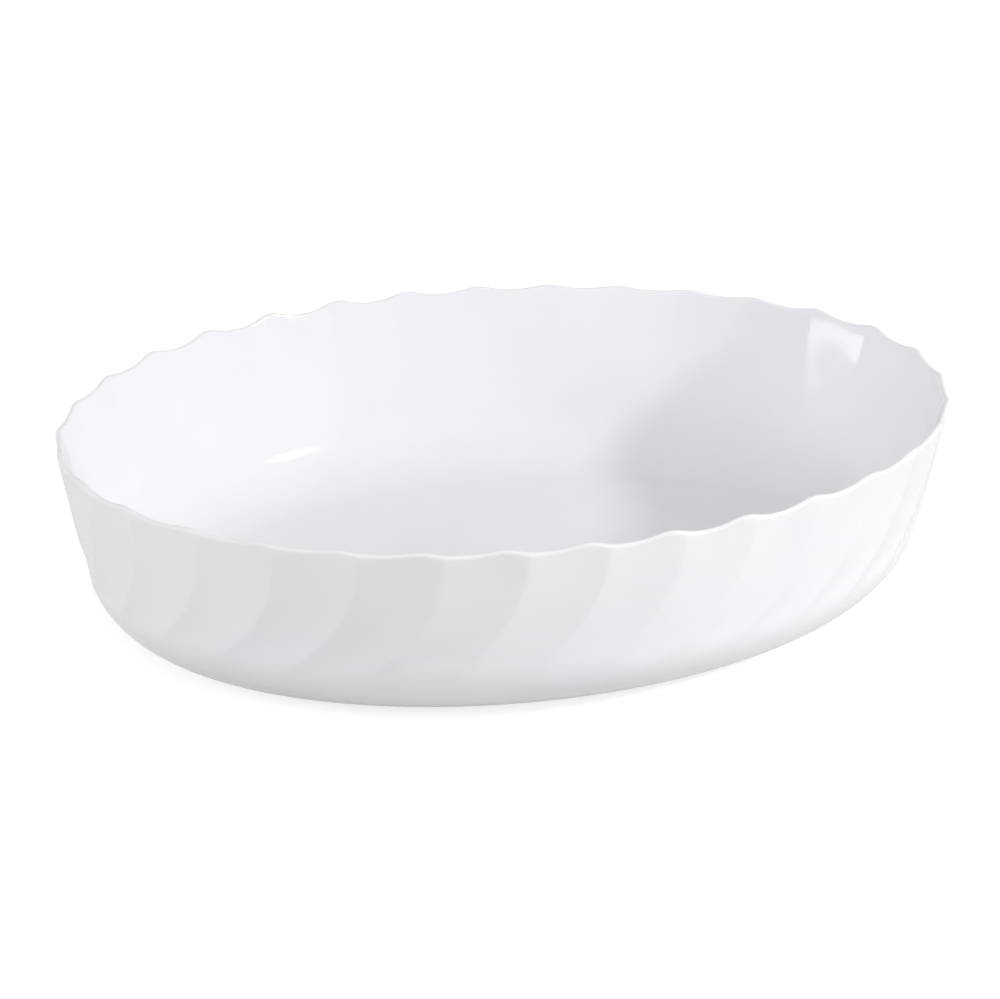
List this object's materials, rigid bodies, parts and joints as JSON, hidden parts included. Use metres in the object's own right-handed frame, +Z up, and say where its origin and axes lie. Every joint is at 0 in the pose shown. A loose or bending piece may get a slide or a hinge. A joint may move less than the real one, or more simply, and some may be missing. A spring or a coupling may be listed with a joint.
{
  "type": "oval baking dish",
  "caption": "Deep oval oven dish pressed in one piece of white opal glass, with swirl-fluted leaning walls, a scalloped rounded rim and a flat foot band.",
  "frame": {"origin": "middle of the foot, on the plane that the dish stands on", "axes": "+X along the oval's length, +Y across it, +Z up out of the open mouth"},
  "size_m": [0.3189, 0.2481, 0.0687],
  "materials": {
    "opal_glass": "fire-polished gloss"
  },
  "bodies": {
    "root": {"dish": "opal_glass"}
  },
  "joints": []
}
